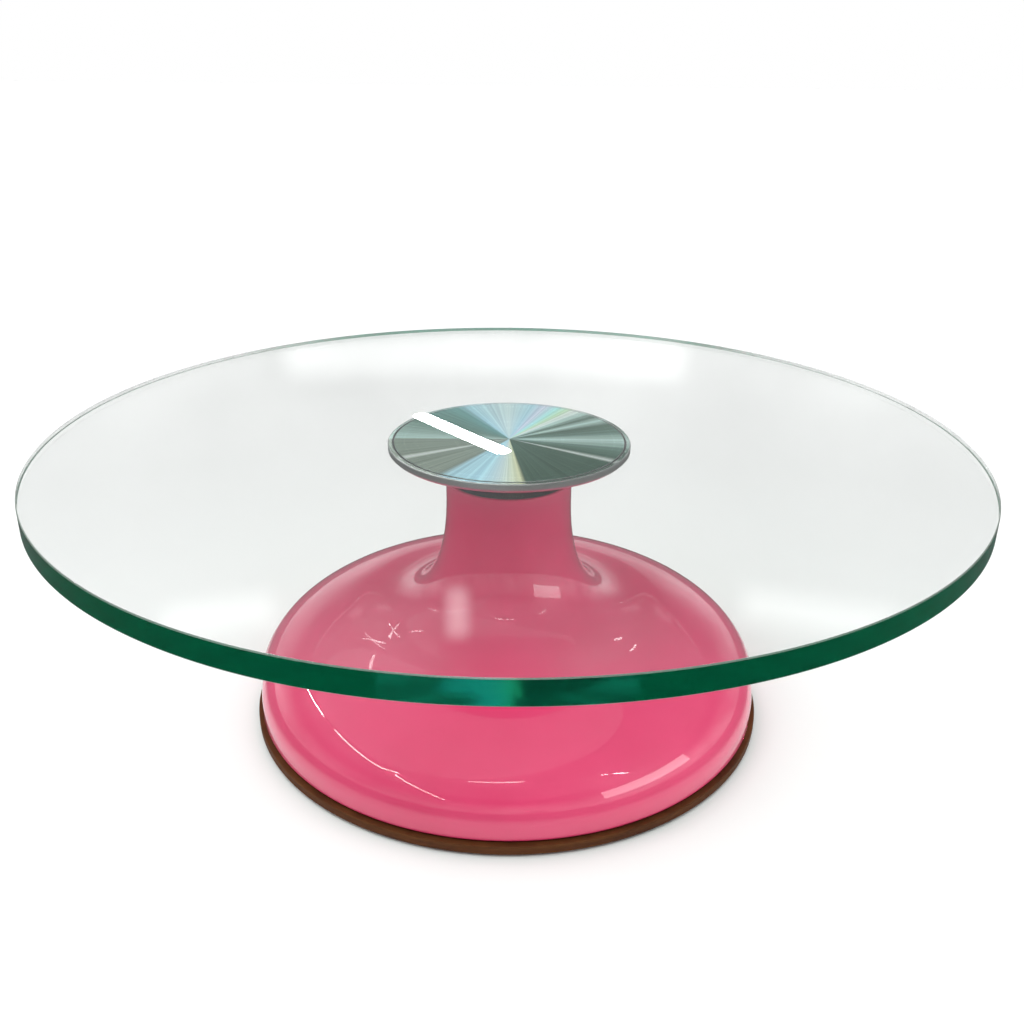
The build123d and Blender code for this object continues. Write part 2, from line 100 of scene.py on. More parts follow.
def rounded(corners, steps=5):
    """The outline through (radius, height, rounding) corners, with an arc at each rounded one.

    A point on each side of an arc, one rounding away, keeps the flats beside it shaded flat.
    """
    outline = []
    for index, (radius, height, rounding) in enumerate(corners):
        here = Vector((radius, height))
        if not rounding:
            outline.append(here)
            continue
        before = (Vector(corners[index - 1][:2]) - here).normalized()
        after = (Vector(corners[(index + 1) % len(corners)][:2]) - here).normalized()
        half_angle = before.angle(after) / 2
        centre = here + (before + after).normalized() * rounding / math.sin(half_angle)
        reach = rounding / math.tan(half_angle)
        first = (here + before * reach - centre).normalized()
        last = (here + after * reach - centre).normalized()
        outline.append(here + before * (reach + rounding))
        for step in range(steps + 1):
            outline.append(centre + first.slerp(last, step / steps) * rounding)
        outline.append(here + after * (reach + rounding))
    return outline


def revolve(name, outline, materials, choose=lambda radius, height: 0):
    """Turns an outline of (radius, height) points about Z into a closed mesh.

    choose gives the number of a band's material from the radius and height of its middle.
    """
    vertices, rings = [], []
    for radius, height in outline:
        count = SEGMENTS if radius > ON_AXIS else 1
        rings.append(range(len(vertices), len(vertices) + count))
        for index in range(count):
            angle = math.tau * index / SEGMENTS
            vertices.append((radius * math.cos(angle), radius * math.sin(angle), height))
    faces, chosen = [], []
    pairs = list(zip(rings, rings[1:]))
    spans = list(zip(outline, outline[1:]))
    if len(rings[0]) > 1 and len(rings[-1]) > 1:
        pairs.append((rings[-1], rings[0]))
        spans.append((outline[-1], outline[0]))
    for (lower, upper), (start, end) in zip(pairs, spans):
        if len(lower) == 1 and len(upper) == 1:
            continue
        middle = (Vector(start) + Vector(end)) / 2
        for index in range(SEGMENTS):
            after = (index + 1) % SEGMENTS
            corners = [lower[index % len(lower)], lower[after % len(lower)]]
            corners += [upper[after % len(upper)], upper[index % len(upper)]]
            faces.append(list(dict.fromkeys(corners)))
            chosen.append(choose(middle.x, middle.y))
    mesh = bpy.data.meshes.new(name)
    mesh.from_pydata(vertices, [], faces)
    for material in materials:
        mesh.materials.append(material)
    mesh.polygons.foreach_set("material_index", chosen)
    mesh.polygons.foreach_set("use_smooth", [True] * len(faces))
    mesh.update()
    mesh.set_sharp_from_angle(angle=SHARP_ANGLE)
    piece = bpy.data.objects.new(name, mesh)
    bpy.context.scene.collection.objects.link(piece)
    return piece


# --- Shader nodes -------------------------------------------------------------------------------


def new_tree(name):
    """A new material's node tree, holding only its output."""
    material = bpy.data.materials.new(name)
    material.use_nodes = True
    material.node_tree.nodes.clear()
    material.node_tree.nodes.new("ShaderNodeOutputMaterial")
    return material.node_tree


def add(tree, kind, inputs=None, **settings):
    """Adds a shader node. Inputs are values or other nodes' sockets, settings its properties."""
    node = tree.nodes.new("ShaderNode" + kind)
    for name, value in settings.items():
        setattr(node, name, value)
    for name, value in (inputs or {}).items():
        if isinstance(value, bpy.types.NodeSocket):
            tree.links.new(value, node.inputs[name])
        else:
            node.inputs[name].default_value = value
    return node


def finish(tree, shader):
    """Joins a shader to the material's output and returns the material."""
    tree.links.new(shader.outputs[0], tree.nodes["Material Output"].inputs["Surface"])
    return next(material for material in bpy.data.materials if material.node_tree == tree)


def places(tree, scale=(1, 1, 1)):
    """The piece's own coordinates in metres, scaled."""
    own = add(tree, "TexCoord").outputs["Object"]
    return add(tree, "Mapping", {"Vector": own, "Scale": scale}).outputs[0]


def noise(tree, vector, scale, detail, roughness=0.5):
    """A cloudy factor between zero and one."""
    inputs = {"Vector": vector, "Scale": scale, "Detail": detail, "Roughness": roughness}
    return add(tree, "TexNoise", inputs).outputs["Fac"]


def ramp(tree, factor, stops):
    """A colour ramp with (position, colour) stops."""
    node = add(tree, "ValToRGB", {"Fac": factor})
    elements = node.color_ramp.elements
    while len(elements) < len(stops):
        elements.new(1.0)
    for element, (position, colour) in zip(elements, stops):
        element.position = position
        element.color = (*colour, 1.0)
    return node.outputs["Color"]


def spread(tree, factor, low, high, start=0.25, end=0.75):
    """Maps a factor between start and end to a number between low and high."""
    inputs = {"Value": factor, "From Min": start, "From Max": end, "To Min": low, "To Max": high}
    return add(tree, "MapRange", inputs).outputs["Result"]


def math_node(tree, operation, first, second=0.0):
    """The result of an operation on one or two numbers."""
    return add(tree, "Math", {0: first, 1: second}, operation=operation).outputs[0]


def scaled(tree, vector, factor):
    """A vector or colour times a number."""
    return add(tree, "VectorMath", {0: vector, "Scale": factor}, operation="SCALE").outputs[0]


def length_of(tree, vector):
    """A vector's length."""
    return add(tree, "VectorMath", {0: vector}, operation="LENGTH").outputs["Value"]


def blend(tree, factor, first, second):
    """The first value where the factor is zero and the second where it is one."""
    inputs = {"Factor": factor, "A": first, "B": second}
    return add(tree, "Mix", inputs, data_type="FLOAT").outputs["Result"]


def bump(tree, height, depth, normal=None):
    """A surface normal tipped by a height factor, this deep in metres."""
    inputs = {"Height": height, "Distance": depth}
    if normal is not None:
        inputs["Normal"] = normal
    return add(tree, "Bump", inputs).outputs["Normal"]


# --- Materials ----------------------------------------------------------------------------------


def pink_paint():
    """Gloss enamel: slightly mottled, with a long swell and fine orange peel in its clear coat."""
    tree = new_tree("pink_paint")
    own = places(tree)
    cloud = noise(tree, own, scale=18, detail=3)
    colour = ramp(tree, cloud, [(0.3, (0.68, 0.034, 0.128)), (0.7, (0.75, 0.044, 0.155))])
    swell = noise(tree, own, scale=45, detail=1)
    peel = noise(tree, own, scale=240, detail=1)
    skin = bump(tree, peel, 0.004 * MM, bump(tree, swell, 0.10 * MM))
    inputs = {
        "Base Color": colour,
        "Roughness": spread(tree, cloud, 0.38, 0.46),
        "IOR": 1.5,
        "Normal": skin,
        "Coat Weight": 1.0,
        "Coat Roughness": 0.008,
        "Coat IOR": 1.5,
        "Coat Normal": skin,
    }
    return finish(tree, add(tree, "BsdfPrincipled", inputs))


def clear_for_light(tree, glass, tint):
    """Lets light shine straight through glass, so that what is under it is lit without noise."""
    through = add(tree, "BsdfTransparent", {"Color": (*tint, 1.0)})
    path = add(tree, "LightPath").outputs
    lighting = math_node(tree, "MAXIMUM", path["Is Shadow Ray"], path["Is Diffuse Ray"])
    inputs = {0: lighting, 1: glass.outputs[0], 2: through.outputs[0]}
    return add(tree, "MixShader", inputs)


def clear_glass():
    """The plate's two faces: polished float glass with the faintest ripple and wiping haze."""
    tree = new_tree("clear_glass")
    own = places(tree)
    ripple = noise(tree, own, scale=14, detail=1)
    haze = noise(tree, own, scale=60, detail=4)
    inputs = {
        "Base Color": (0.955, 0.98, 0.967, 1),
        "Roughness": spread(tree, haze, 0.0, 0.012, start=0.45, end=0.8),
        "IOR": 1.52,
        "Transmission Weight": 1.0,
        "Normal": bump(tree, ripple, 0.02 * MM),
    }
    glass = add(tree, "BsdfPrincipled", inputs)
    return finish(tree, clear_for_light(tree, glass, (0.95, 0.97, 0.96)))


def glass_edge():
    """The plate's polished edge, where the glass shows its own deep green."""
    tree = new_tree("glass_edge")
    own = places(tree)
    bands = noise(tree, places(tree, (12, 12, 420)), scale=1, detail=3)
    colour = ramp(tree, bands, [(0.3, (0.0001, 0.050, 0.020)), (0.7, (0.0001, 0.072, 0.030))])
    lapping = noise(tree, own, scale=900, detail=2)
    haze = noise(tree, own, scale=120, detail=3)
    inputs = {
        "Base Color": colour,
        "Roughness": spread(tree, haze, 0.16, 0.22),
        "IOR": 1.2,
        "Specular Tint": (0.0, 0.12, 0.07, 1),
        "Transmission Weight": 1.0,
        "Normal": bump(tree, lapping, 0.01 * MM),
    }
    glass = add(tree, "BsdfPrincipled", inputs)
    return finish(tree, clear_for_light(tree, glass, (0.25, 0.60, 0.48)))


def glass_arris():
    """The narrow bevels ground along the plate's edge: satin, and greyer than the edge between."""
    tree = new_tree("glass_arris")
    grinding = noise(tree, places(tree), scale=1600, detail=2)
    colour = ramp(tree, grinding, [(0.3, (0.15, 0.21, 0.17)), (0.7, (0.25, 0.31, 0.27))])
    inputs = {
        "Base Color": colour,
        "Roughness": 0.42,
        "IOR": 1.52,
        "Transmission Weight": 0.35,
        "Normal": bump(tree, grinding, 0.01 * MM),
    }
    glass = add(tree, "BsdfPrincipled", inputs)
    return finish(tree, clear_for_light(tree, glass, (0.40, 0.60, 0.50)))


# Painted reflections in the turned face's colour, by degrees about the spindle from +X towards +Y:
# painted brighter glints and darker shade, with painted rainbow tints where the grooves spread
# light.
DARK = (0.105, 0.175, 0.140)
DULL = (0.190, 0.300, 0.260)
TEAL = (0.190, 0.400, 0.390)
PALE = (0.560, 0.740, 0.700)
MIST = (0.740, 0.880, 0.900)
BLUE = (0.560, 0.860, 1.000)
CYAN = (0.480, 0.920, 0.920)
WARM = (0.330, 0.390, 0.340)
GOLD = (0.800, 0.830, 0.560)
WHITE = (0.950, 1.000, 0.980)
LILAC = (0.780, 0.800, 1.000)
LIME = (0.700, 0.950, 0.640)
TURNED_PAINTED_REFLECTIONS = [
    (0, PALE), (10, DULL), (24, DARK), (31, PALE), (38, DARK), (46, PALE), (52, WHITE),
    (56, LIME), (62, CYAN), (69, LILAC), (76, BLUE), (90, MIST), (112, BLUE), (119, TEAL),
    (150, DULL), (176, PALE), (190, WARM), (205, WARM), (208, WHITE), (211, WARM), (235, WARM),
    (240, BLUE), (255, BLUE), (264, MIST), (275, GOLD), (277, DARK), (325, DARK), (328, WHITE),
    (331, DARK), (344, DULL), (356, PALE),
]


def turned_aluminium():
    """The disc's face: fine turned grooves draw lamps into glints from its middle; its colour has
    painted reflections.
    """
    tree = new_tree("turned_aluminium")
    own = places(tree)
    azimuth = add(tree, "TexGradient", {"Vector": own}, gradient_type="RADIAL").outputs["Fac"]
    # The gradient runs from 0 at azimuth -180 to 1 at +180.
    stops = sorted((((angle + 180) % 360) / 360, colour) for angle, colour in TURNED_PAINTED_REFLECTIONS)
    # Painted reflections: the colour is brighter where lamps would glint and darker where they
    # would not.
    painted_reflections = ramp(tree, azimuth, stops)
    reach = add(tree, "VectorMath", {0: own, 1: (1, 1, 0)}, operation="MULTIPLY").outputs[0]
    outwards = add(tree, "VectorMath", {0: reach}, operation="NORMALIZE").outputs[0]
    # Painted highlight rays: radial brighter and darker lines in the colour, like lamps drawn out
    # by the grooves.
    painted_rays = noise(tree, outwards, scale=22, detail=6, roughness=0.7)
    painted_streaks = spread(tree, painted_rays, 0.68, 1.32, start=0.3, end=0.7)
    across = add(tree, "CombineXYZ", {"X": length_of(tree, reach)}).outputs[0]
    turns = noise(tree, across, scale=9000, detail=1)
    tangent = add(tree, "Tangent", direction_type="RADIAL", axis="Z").outputs[0]
    inputs = {
        "Base Color": scaled(tree, painted_reflections, painted_streaks),
        "Metallic": 0.55,
        "Roughness": spread(tree, turns, 0.24, 0.28),
        "Anisotropic": 0.9,
        "Anisotropic Rotation": 0.25,
        "Tangent": tangent,
        "Normal": bump(tree, turns, 0.0008 * MM),
    }
    return finish(tree, add(tree, "BsdfPrincipled", inputs))


def hardboard():
    """Pressed brown fibreboard, with layered fibres along its sawn edge."""
    tree = new_tree("hardboard")
    layers = noise(tree, places(tree, (30, 30, 700)), scale=1, detail=4, roughness=0.65)
    fibres = noise(tree, places(tree, (220, 220, 900)), scale=1, detail=3)
    coarse = math_node(tree, "MULTIPLY", layers, 0.7)
    fine = math_node(tree, "MULTIPLY", fibres, 0.3)
    grain = math_node(tree, "ADD", coarse, fine)
    dark, brown, light = (0.055, 0.016, 0.004), (0.100, 0.032, 0.008), (0.145, 0.052, 0.014)
    inputs = {
        "Base Color": ramp(tree, grain, [(0.32, dark), (0.5, brown), (0.68, light)]),
        "Roughness": spread(tree, grain, 0.6, 0.85),
        "Specular IOR Level": 0.2,
        "Normal": bump(tree, grain, 0.12 * MM),
    }
    return finish(tree, add(tree, "BsdfPrincipled", inputs))


def metal(name, colour, roughness, grain_scale, grain_depth, rings=False):
    """A plain metal with machining marks: rings round the axis, or an even fine grain."""
    tree = new_tree(name)
    stretch = (0.02, 0.02, 1) if rings else (1, 1, 1)
    marks = noise(tree, places(tree, stretch), grain_scale, detail=3)
    stain = noise(tree, places(tree), scale=40, detail=3)
    dark = tuple(0.82 * part for part in colour)
    inputs = {
        "Base Color": ramp(tree, stain, [(0.3, dark), (0.7, colour)]),
        "Metallic": 1.0,
        "Roughness": spread(tree, marks, 0.8 * roughness, 1.25 * roughness),
        "Normal": bump(tree, marks, grain_depth),
    }
    return finish(tree, add(tree, "BsdfPrincipled", inputs))


def moulded(name, colour, roughness, grain_scale=900, grain_depth=0.03 * MM):
    """Moulded plastic, rubber or cured resin with a fine grain."""
    tree = new_tree(name)
    own = places(tree)
    grain = noise(tree, own, grain_scale, detail=2)
    cloud = noise(tree, own, scale=70, detail=3)
    dark = tuple(0.75 * part for part in colour)
    inputs = {
        "Base Color": ramp(tree, cloud, [(0.3, dark), (0.7, colour)]),
        "Roughness": spread(tree, grain, 0.85 * roughness, 1.15 * roughness),
        "Normal": bump(tree, grain, grain_depth),
    }
    return finish(tree, add(tree, "BsdfPrincipled", inputs))


# The floor's brightness, where what the eye sees of it is one: in reflections, near the object's
# foot and away from it, with the distances from the axis between which it fades, and in the light
# it throws back
FLOOR_GLOSS_NEAR = 1.0
FLOOR_GLOSS_FAR = 0.15
FLOOR_GLOSS_START = 145 * MM
FLOOR_GLOSS_END = 175 * MM
FLOOR_BOUNCE = 1.12


def pale_floor():
    """A near-white matt sheet, held back in reflections so that gloss keeps its depth."""
    tree = new_tree("pale_floor")
    own = places(tree)
    tone = noise(tree, own, scale=3, detail=2)
    colour = ramp(tree, tone, [(0.3, (0.91, 0.91, 0.91)), (0.7, (0.93, 0.93, 0.93))])
    path = add(tree, "LightPath").outputs
    gloss = math_node(tree, "SUBTRACT", path["Is Glossy Ray"], path["Is Transmission Ray"])
    fading = (FLOOR_GLOSS_NEAR, FLOOR_GLOSS_FAR, FLOOR_GLOSS_START, FLOOR_GLOSS_END)
    mirrored = blend(tree, gloss, 1.0, spread(tree, length_of(tree, own), *fading))
    thrown = spread(tree, path["Is Diffuse Ray"], 1.0, FLOOR_BOUNCE, start=0.0, end=1.0)
    factor = math_node(tree, "MULTIPLY", mirrored, thrown)
    return finish(tree, add(tree, "BsdfDiffuse", {"Color": scaled(tree, colour, factor)}))


PAINT = pink_paint()
GLASS = clear_glass()
EDGE = glass_edge()
BEVEL = glass_arris()
TURNED = turned_aluminium()
BOARD = hardboard()
NODE_MATERIALS = {
    "clear_bond": GLASS,
    "cast_aluminium": metal(
        "machined_aluminium", (0.80, 0.82, 0.82), 0.34, 1400, 0.01 * MM, rings=True
    ),
    "ground_steel": metal(
        "ground_steel", (0.58, 0.58, 0.60), 0.22, 1800, 0.006 * MM, rings=True
    ),
    "bearing_steel": metal(
        "bearing_steel", (0.66, 0.67, 0.69), 0.10, 1500, 0.002 * MM, rings=True
    ),
    "zinc_steel": metal("zinc_steel", (0.60, 0.62, 0.66), 0.32, 500, 0.01 * MM),
    "spring_steel": metal("spring_steel", (0.14, 0.14, 0.15), 0.40, 700, 0.01 * MM),
    "black_oxide_steel": metal("black_oxide_steel", (0.045, 0.045, 0.050), 0.36, 700, 0.01 * MM),
    "black_plastic": moulded("black_plastic", (0.022, 0.022, 0.024), 0.42),
    "cage_nylon": moulded("cage_nylon", (0.70, 0.64, 0.50), 0.45),
    "seal_rubber": moulded("seal_rubber", (0.030, 0.030, 0.032), 0.55),
    "rubber_pad": moulded("rubber_pad", (0.055, 0.055, 0.058), 0.75, 600, 0.08 * MM),
    "adhesive": moulded("adhesive", (0.42, 0.28, 0.11), 0.50, 300, 0.08 * MM),
    "pink_paint": PAINT,
    "clear_glass": GLASS,
    "turned_aluminium": TURNED,
    "hardboard": BOARD,
}


# --- Pieces -------------------------------------------------------------------------------------


def bezier(start, pull_start, pull_end, end):
    """Points along a cubic Bezier curve, after its first."""
    found = []
    for step in range(1, CURVE_STEPS + 1):
        t = step / CURVE_STEPS
        s = 1 - t
        found.append(
            start * s**3 + pull_start * 3 * s * s * t + pull_end * 3 * s * t * t + end * t**3
        )
    return found


def shell_side(radius, foot, lip, inset):
    """The pedestal's side from its foot to its lip, this far inside the outer skin."""
    hem = SHELL_HEM - inset
    points = []
    for step in range(ARC_STEPS + 1):
        angle = math.radians(-90 + 90 * step / ARC_STEPS)
        across = radius - SHELL_HEM + hem * math.cos(angle)
        points.append(Vector((across, foot + SHELL_HEM + hem * math.sin(angle))))
    dome_foot = foot + SHELL_RIM_HEIGHT
    wide, tall = DOME_WIDTH - inset, DOME_HEIGHT - inset
    for step in range(CURVE_STEPS + 1):
        turn = DOME_SWEEP * step / CURVE_STEPS
        across = radius - DOME_WIDTH + wide * math.cos(turn)
        points.append(Vector((across, dome_foot + tall * math.sin(turn))))
    onward = Vector((-wide * math.sin(DOME_SWEEP), tall * math.cos(DOME_SWEEP))).normalized()
    neck = NECK_RADIUS - inset
    neck_foot = lip - NECK_LENGTH
    return points + bezier(
        points[-1],
        points[-1] + onward * FLARE_DOME_PULL,
        Vector((neck, neck_foot - FLARE_NECK_PULL)),
        Vector((neck, neck_foot)),
    )


def make_shell():
    """The spun pedestal, outside and in, with its round lip and turned-in foot."""
    low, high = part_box("pedestal_shell")
    outer = shell_side(high.x, low.z, high.z, 0)
    inner = shell_side(high.x, low.z, high.z, SHELL_WALL)
    half = SHELL_WALL / 2
    lip = []
    for step in range(ARC_STEPS + 1):
        angle = math.pi * step / ARC_STEPS
        across = NECK_RADIUS - half + half * math.cos(angle)
        lip.append(Vector((across, high.z - half + half * math.sin(angle))))
    foot = [Vector((SHELL_FOOT_RADIUS, low.z + SHELL_WALL)), Vector((SHELL_FOOT_RADIUS, low.z))]
    piece = revolve("painted_shell", outer + lip + inner[::-1] + foot, [PAINT])
    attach(piece, "pedestal")
    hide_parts("pedestal_shell")
    return piece


def make_board():
    """The base board, with its centre hole and softened edges."""
    low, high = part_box("base_board")
    corners = [
        (BOARD_BORE, low.z, 0),
        (high.x, low.z, BOARD_EDGE_BREAK),
        (high.x, high.z, BOARD_EDGE_BREAK),
        (BOARD_BORE, high.z, 0),
    ]
    piece = revolve("hardboard_base", rounded(corners), [BOARD])
    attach(piece, "pedestal")
    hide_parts("base_board")


def make_plate():
    """The glass plate and the clear bond under it, in one piece so that no air shows between."""
    low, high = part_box("glass_plate")
    bond_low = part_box("bonding_film")[0].z - BOND_OVERLAP
    radius = high.x
    corners = [
        (0, bond_low, 0),
        (BOND_RADIUS, bond_low, 0),
        (BOND_RADIUS, low.z, 0),
        (radius - ARRIS, low.z, ARRIS_ROUNDING),
        (radius, low.z + ARRIS, ARRIS_ROUNDING),
        (radius, high.z - ARRIS, ARRIS_ROUNDING),
        (radius - ARRIS, high.z, ARRIS_ROUNDING),
        (0, high.z, 0),
    ]

    def zone(across, height):
        """The face's, the edge's or the bevels' glass."""
        if across < radius - ARRIS:
            return 0
        return 1 if low.z + ARRIS < height < high.z - ARRIS else 2

    piece = revolve("polished_plate", rounded(corners, steps=3), [GLASS, EDGE, BEVEL], zone)
    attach(piece, "platter")
    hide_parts("glass_plate", "bonding_film")


def make_disc():
    """The turned disc under the plate, with its groove, boss and stud hole."""
    low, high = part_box("mounting_disc")
    radius, top = high.x, high.z
    under = top - DISC_THICKNESS
    groove_in = DISC_GROOVE_RADIUS - DISC_GROOVE_WIDTH / 2
    groove_out = DISC_GROOVE_RADIUS + DISC_GROOVE_WIDTH / 2
    hole_top = low.z + STUD_HOLE_DEPTH
    corners = [
        (STUD_RADIUS, low.z, 0),
        (BOSS_RADIUS, low.z, BOSS_END_ROUNDING),
        (BOSS_RADIUS, under, BOSS_FILLET),
        (radius - DISC_BEVEL, under, DISC_SIDE_ROUNDING),
        (radius, under + DISC_BEVEL, DISC_SIDE_ROUNDING),
        (radius, top - DISC_TOP_EDGE, DISC_FACE_ROUNDING),
        (radius - DISC_TOP_EDGE, top, 0),
        (groove_out, top, DISC_FACE_ROUNDING),
        (groove_out, top - DISC_GROOVE_DEPTH, DISC_GROOVE_ROUNDING),
        (groove_in, top - DISC_GROOVE_DEPTH, DISC_GROOVE_ROUNDING),
        (groove_in, top, DISC_FACE_ROUNDING),
        (0, top, 0),
        (0, hole_top, 0),
        (STUD_RADIUS, hole_top, 0),
    ]

    def zone(across, height):
        """The turned face, the plainer metal beside and under it, or the groove in dark steel as
        painted shade.
        """
        if groove_in <= across <= groove_out and height > top - DISC_THICKNESS / 2:
            return 2
        return 1 if height < top - DISC_FACE_DEPTH else 0

    side = NODE_MATERIALS["cast_aluminium"]
    # The groove gets the dark spring steel as painted shade in the recess, though the disc is
    # aluminium.
    painted_groove_shade = NODE_MATERIALS["spring_steel"]
    piece = revolve("turned_disc", rounded(corners), [TURNED, side, painted_groove_shade], zone)
    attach(piece, "platter")
    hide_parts("mounting_disc")


def dress_cad_nodes():
    """Gives every CAD node the procedural material of its slot in the record."""
    slots = {part["node"]: part["material_slot"] for part in frame["record"]["subparts"]}
    for node, piece in frame["nodes"].items():
        for held in piece.material_slots:
            held.material = NODE_MATERIALS[slots[node]]


dress_cad_nodes()
shell = make_shell()
make_board()
make_plate()
make_disc()


# --- Stage --------------------------------------------------------------------------------------

FLOOR_REACH = 14.0
CEILING = 2.2
TUBE_RADIANCE = 40.0
LAMP_RADIANCE = 7.0

# The room in reflections, and the light it gives matt surfaces: (degrees up, brightness)
ROOM_BY_ELEVATION = [
    (0, 1.00), (7, 0.98), (12, 0.78), (16, 0.52), (20, 0.20), (24, 0.11), (27, 0.18), (31, 0.38),
    (38, 0.30), (55, 0.15), (90, 0.12),
]
LIGHT_BY_ELEVATION = [(0, 0.40), (20, 0.50), (45, 1.00), (90, 1.45)]
# The light's lowest and highest factors, and the direction's Y or sideways part where it has each
LIGHT_BY_DEPTH = (0.32, 1.15, -0.9, -0.1)  # dimmer from behind the camera
LIGHT_BY_SIDE = (0.80, 1.45, 0.2, 1.0)  # brighter from the left and right
LED_BOUNCES = 6  # light that has bounced more often than this has been led along inside the plate

# Soft panels in the room's reflections: azimuth from +Y towards +X, half width, elevation, half
# height and softness in degrees, and brightness
PANELS = [
    (-0.5, 11.0, 14.7, 1.0, 0.9, 0.50),
    (-16.5, 3.2, 28.0, 0.8, 1.0, 0.75),
    (19.5, 4.4, 27.5, 0.8, 1.0, 0.75),
    (-2.25, 0.65, 28.8, 1.3, 0.6, 1.3),
]
# Lamps on the ceiling: two ends, width and radiance
TUBES = {
    "tube_in_disc": ((-0.50, 6.36), (0.04, 5.67), 0.12, TUBE_RADIANCE),
    "tube_behind_left": ((-0.62, -1.72), (0.23, -1.67), 0.055, TUBE_RADIANCE),
    "tube_behind_right": ((2.00, -1.60), (2.65, -1.72), 0.045, TUBE_RADIANCE),
    "tube_behind_short": ((1.65, -1.56), (1.87, -1.60), 0.035, TUBE_RADIANCE),
    "lamp_ahead_right": ((0.82, 2.78), (0.84, 2.98), 0.05, LAMP_RADIANCE),
    "lamp_ahead_cross": ((-0.94, 3.15), (-0.76, 2.84), 0.04, LAMP_RADIANCE),
    "lamp_ahead_left": ((-0.72, 3.08), (-1.10, 2.81), 0.04, LAMP_RADIANCE),
    "lamp_ahead_near": ((-1.02, 2.28), (-1.14, 1.74), 0.05, LAMP_RADIANCE),
    "tube_left_far": ((-3.24, 2.16), (-2.90, 0.90), 0.06, TUBE_RADIANCE),
    "tube_left_middle": ((-2.84, 0.35), (-2.64, -1.45), 0.04, TUBE_RADIANCE),
    "tube_left_joint": ((-2.64, -1.45), (-2.20, -1.62), 0.06, TUBE_RADIANCE),
    "tube_left_near": ((-2.48, -1.87), (-2.90, -6.00), 0.05, TUBE_RADIANCE),
}

# The window beside the object, seen in the painted shell
WINDOW_CENTRE = (2.9, -1.7, 0.95)
WINDOW_ALONG = (0.5, 0.85, 0)
WINDOW_LENGTH = 2.6
WINDOW_WIDTH = 0.8
WINDOW_RADIANCE = 4.5

# The broad light from above: energy, spread, and its tips about X and Y
SUN_ENERGY = 0.68
SUN_SPREAD = math.radians(80)
SUN_TIPS = (math.radians(-8), math.radians(-14))

# The camera, in front of the plate and a little above it, tipped down and turned very slightly
CAMERA_PLACE = (-0.0068, -0.438, 0.2835)
CAMERA_PITCH = math.radians(23.30)
CAMERA_YAW = math.radians(1.09)
CAMERA_ROLL = math.radians(0.60)
SENSOR_WIDTH = 36  # these two in millimetres, as Blender has them
FOCAL_LENGTH = 36.77

# How often light may bounce, so that it gets out of the plate's edge
GLASS_BOUNCES = 40
CLEAR_BOUNCES = 24


def make_floor():
    """The floor that the object stands on."""
    mesh = bpy.data.meshes.new("floor")
    signs = ((-1, -1), (1, -1), (1, 1), (-1, 1))
    corners = [(FLOOR_REACH * across, FLOOR_REACH * deep, 0) for across, deep in signs]
    mesh.from_pydata(corners, [], [(0, 1, 2, 3)])
    mesh.materials.append(pale_floor())
    floor = bpy.data.objects.new("floor", mesh)
    bpy.context.scene.collection.objects.link(floor)


def soft_step(tree, value, edge, softness):
    """One below an edge and zero above it, softly."""
    inputs = {
        "Value": value,
        "From Min": edge - softness,
        "From Max": edge + softness,
        "To Min": 1.0,
        "To Max": 0.0,
    }
    return add(tree, "MapRange", inputs, interpolation_type="SMOOTHSTEP").outputs["Result"]


def panel(tree, azimuth, elevation, spot):
    """A soft-edged bright panel in the room."""
    across, half_width, height, half_height, softness, brightness = spot
    sideways = math_node(tree, "ABSOLUTE", math_node(tree, "SUBTRACT", azimuth, across))
    upwards = math_node(tree, "ABSOLUTE", math_node(tree, "SUBTRACT", elevation, height))
    inside = math_node(
        tree,
        "MULTIPLY",
        soft_step(tree, sideways, half_width, softness),
        soft_step(tree, upwards, half_height, softness),
    )
    return math_node(tree, "MULTIPLY", inside, brightness)


def by_elevation(tree, height, table):
    """Brightness by height, which is zero at the horizon and one straight up."""
    return ramp(tree, height, [(angle / 90, (tone, tone, tone)) for angle, tone in table])


def make_world():
    """White for the eye, graded light for matt surfaces, and a dim soft room for gloss."""
    world = bpy.data.worlds.new("room")
    world.use_nodes = True
    tree = world.node_tree
    tree.nodes.clear()
    direction = add(tree, "TexCoord").outputs["Generated"]
    axes = add(tree, "SeparateXYZ", {0: direction}).outputs
    elevation = math_node(tree, "DEGREES", math_node(tree, "ARCSINE", axes["Z"]))
    azimuth = math_node(tree, "DEGREES", math_node(tree, "ARCTAN2", axes["X"], axes["Y"]))
    height = math_node(tree, "DIVIDE", elevation, 90.0)
    clouds = noise(tree, direction, scale=3.2, detail=3, roughness=0.55)
    mottle = spread(tree, clouds, 0.5, 1.5, start=0.3, end=0.7)
    room = math_node(tree, "MULTIPLY", by_elevation(tree, height, ROOM_BY_ELEVATION), mottle)
    for spot in PANELS:
        room = math_node(tree, "ADD", room, panel(tree, azimuth, elevation, spot))
    overhead = by_elevation(tree, height, LIGHT_BY_ELEVATION)
    ahead = spread(tree, axes["Y"], *LIGHT_BY_DEPTH)
    beside = spread(tree, math_node(tree, "ABSOLUTE", axes["X"]), *LIGHT_BY_SIDE)
    lighting = math_node(tree, "MULTIPLY", overhead, math_node(tree, "MULTIPLY", ahead, beside))
    # Light led along inside the plate comes out of its far edge and meets the white backdrop.
    path = add(tree, "LightPath").outputs
    led = math_node(tree, "GREATER_THAN", path["Ray Depth"], LED_BOUNCES)
    backdrop = math_node(tree, "MAXIMUM", path["Is Camera Ray"], led)
    shown = blend(tree, path["Is Diffuse Ray"], room, lighting)
    shown = blend(tree, backdrop, shown, 1.0)
    background = add(tree, "Background", {"Color": shown, "Strength": 1.0})
    output = tree.nodes.new("ShaderNodeOutputWorld")
    tree.links.new(background.outputs[0], output.inputs["Surface"])
    world.cycles.sampling_method = "NONE"
    bpy.context.scene.world = world


def glow(radiance):
    """The material of a lamp's face."""
    tree = new_tree("glow")
    return finish(tree, add(tree, "Emission", {"Strength": radiance}))


